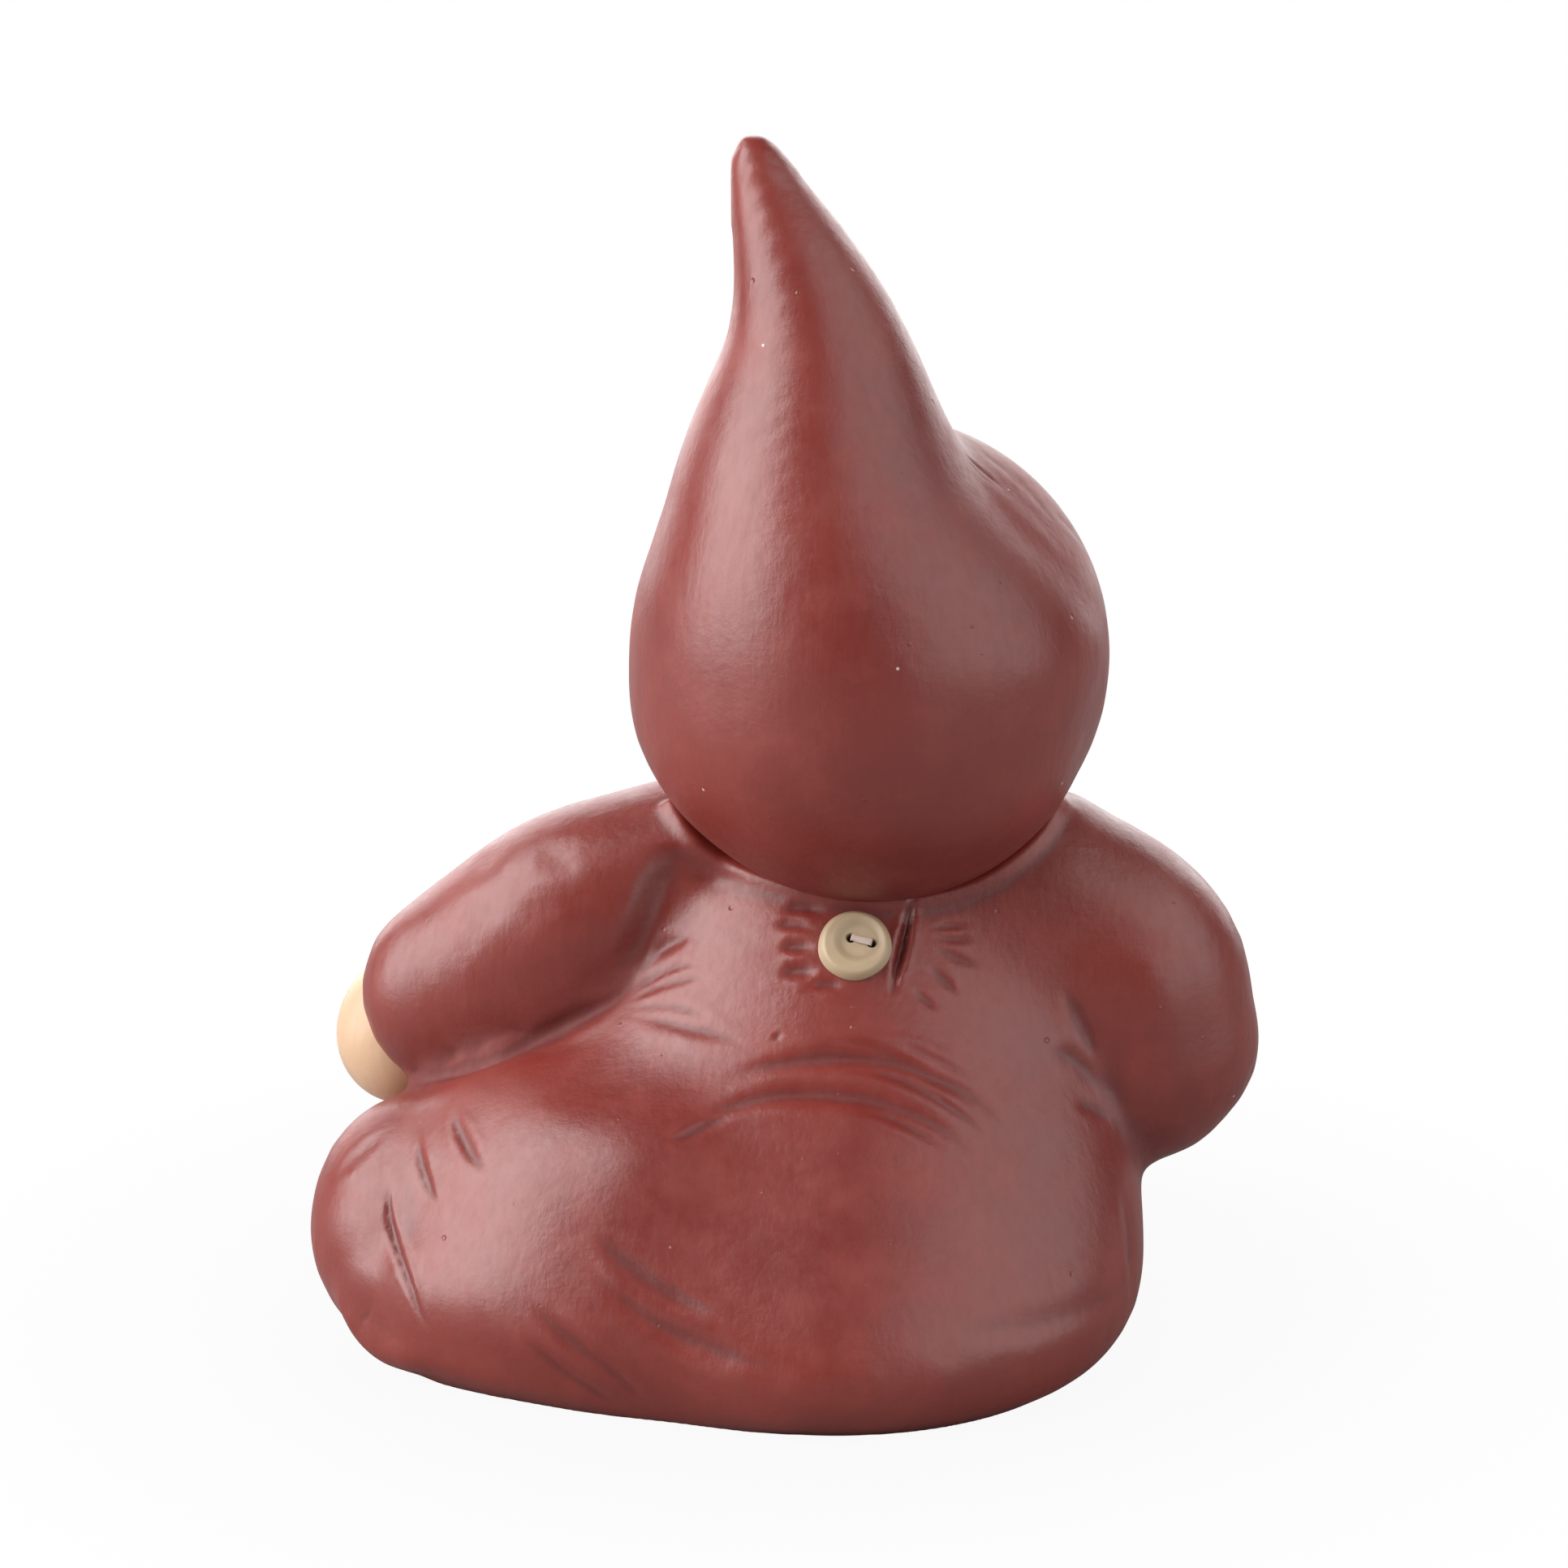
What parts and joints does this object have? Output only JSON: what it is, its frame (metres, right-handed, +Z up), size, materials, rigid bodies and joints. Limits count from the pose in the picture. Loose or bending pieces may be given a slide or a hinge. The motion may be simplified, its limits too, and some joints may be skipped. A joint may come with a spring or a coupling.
{
  "type": "seated tomte figure",
  "caption": "Seated folk tomte ornament in a pointed hood, hand on the knee, with a round button on the back, cast in pegged pieces",
  "frame": {"origin": "on the floor, under the middle of the figure's bounding box", "axes": "+Z up; the figure faces -Y; its left hand is on the +X side"},
  "size_m": [0.1106, 0.1, 0.1394],
  "materials": {
    "red_paint": "brick red paint, semi-matte, over stone-filled cast resin",
    "skin_paint": "pale skin paint, semi-matte, over stone-filled cast resin",
    "beard_paint": "off-white paint, matte, over stone-filled cast resin",
    "boot_paint": "dark brown paint, semi-matte, over stone-filled cast resin",
    "button_paint": "cream paint, semi-matte, over stone-filled cast resin",
    "thread_paint": "pale pink-white paint, matte, over stone-filled cast resin",
    "eye_gloss": "black gloss paint"
  },
  "bodies": {
    "root": {"hood": "red_paint", "body": "red_paint", "collar_band": "red_paint", "left_sleeve": "red_paint", "right_sleeve": "red_paint", "left_trouser_leg": "red_paint", "right_trouser_leg": "red_paint", "face": "skin_paint", "nose": "skin_paint", "left_hand": "skin_paint", "right_hand": "skin_paint", "left_eye": "eye_gloss", "right_eye": "eye_gloss", "moustache": "beard_paint", "beard": "beard_paint", "left_boot": "boot_paint", "right_boot": "boot_paint", "back_button": "button_paint", "button_thread": "thread_paint"}
  },
  "joints": []
}
